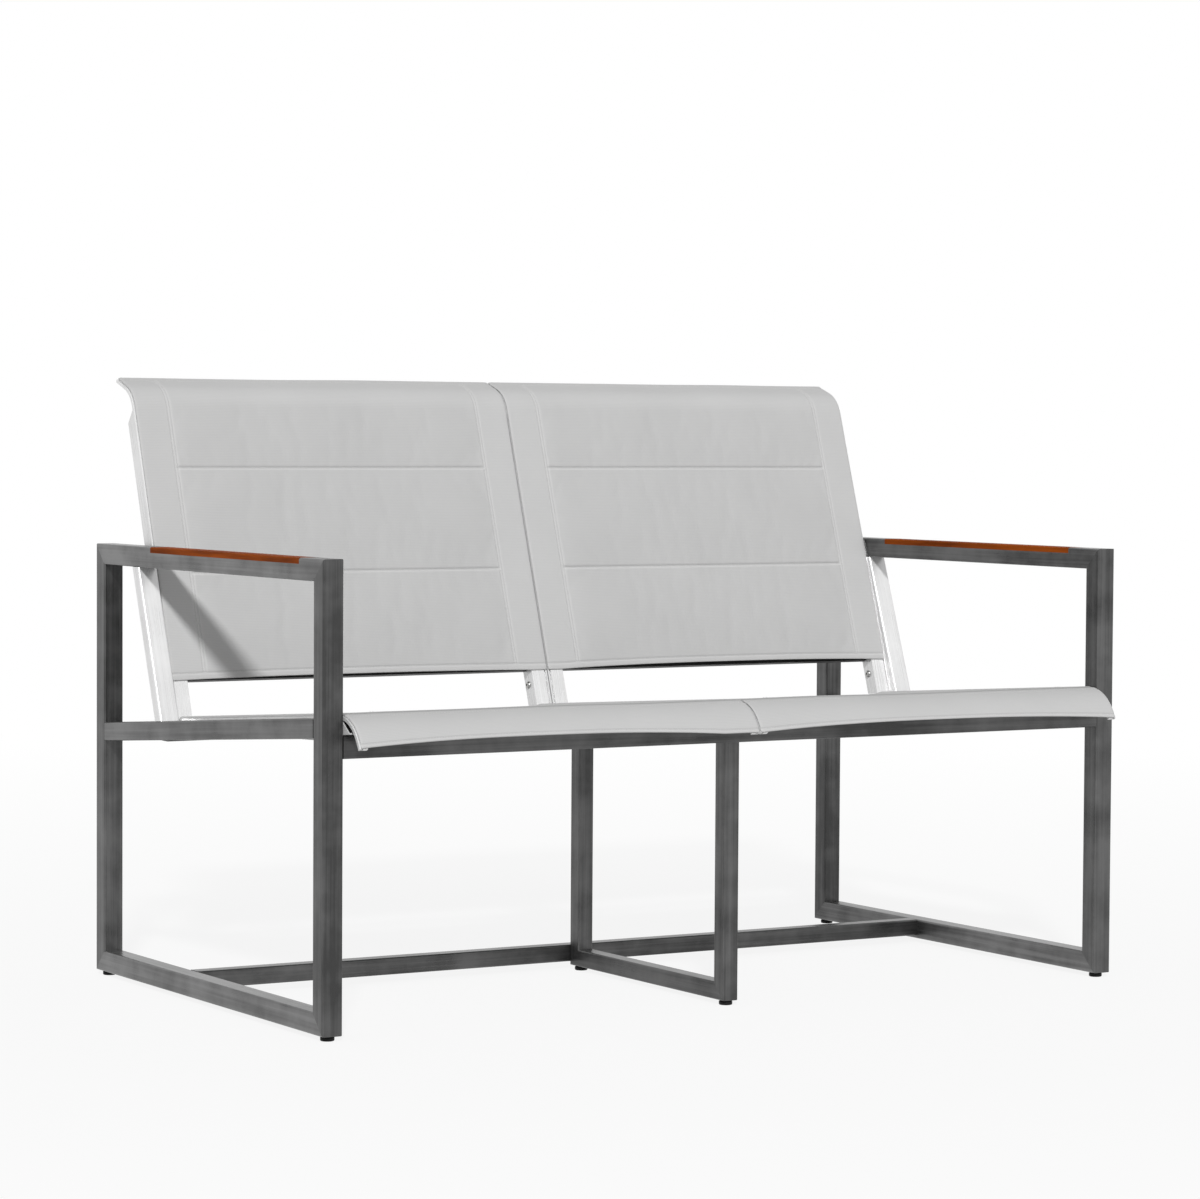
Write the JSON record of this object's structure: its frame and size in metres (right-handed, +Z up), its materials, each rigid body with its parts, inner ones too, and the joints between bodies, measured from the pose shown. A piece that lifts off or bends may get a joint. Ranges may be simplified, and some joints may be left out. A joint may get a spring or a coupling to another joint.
{
  "type": "sling loveseat",
  "caption": "Outdoor loveseat with quilted fabric slings on grooved aluminium rails, square brushed steel tube frames and wooden arm inlays.",
  "frame": {"origin": "on the floor, at the middle of the width and of the depth", "axes": "+X along the width to the sitter's left, +Y from front to back, +Z up"},
  "size_m": [1.3, 0.7854, 0.8757],
  "materials": {
    "frame": "brushed along each tube",
    "upright": "satin",
    "sling_rail": "satin anodised",
    "sling": "padded, quilted, fine cross weave",
    "spline": "plain",
    "inlay": "oiled hardwood",
    "fastener": "plain stainless",
    "glide": "moulded"
  },
  "bodies": {
    "root": {"arm_inlay_left": "inlay", "arm_inlay_right": "inlay", "arm_rail_left": "frame", "arm_rail_right": "frame", "back_bar_high_left": "frame", "back_bar_high_right": "frame", "back_bar_low_left": "frame", "back_bar_low_right": "frame", "back_bolts": "fastener", "back_rail_left_end": "sling_rail", "back_rail_left_middle": "sling_rail", "back_rail_right_end": "sling_rail", "back_rail_right_middle": "sling_rail", "back_sling_left": "sling", "back_sling_right": "sling", "back_spline_left_end": "spline", "back_spline_left_middle": "spline", "back_spline_right_end": "spline", "back_spline_right_middle": "spline", "back_upright_left": "upright", "back_upright_right": "upright", "centre_post": "upright", "floor_stretcher": "frame", "front_leg_left": "frame", "front_leg_right": "frame", "front_rail": "frame", "glides_left": "glide", "glides_middle": "glide", "glides_right": "glide", "middle_front_leg": "frame", "middle_rear_leg": "frame", "middle_runner": "frame", "middle_top_rail": "frame", "rail_plate_left": "upright", "rail_plate_right": "upright", "rear_leg_left": "frame", "rear_leg_right": "frame", "rear_rail": "frame", "runner_left": "frame", "runner_right": "frame", "seat_rail_left_end": "sling_rail", "seat_rail_left_middle": "sling_rail", "seat_rail_right_end": "sling_rail", "seat_rail_right_middle": "sling_rail", "seat_sling_left": "sling", "seat_sling_right": "sling", "seat_spline_left_end": "spline", "seat_spline_left_middle": "spline", "seat_spline_right_end": "spline", "seat_spline_right_middle": "spline", "side_rail_left": "frame", "side_rail_right": "frame"}
  },
  "joints": []
}
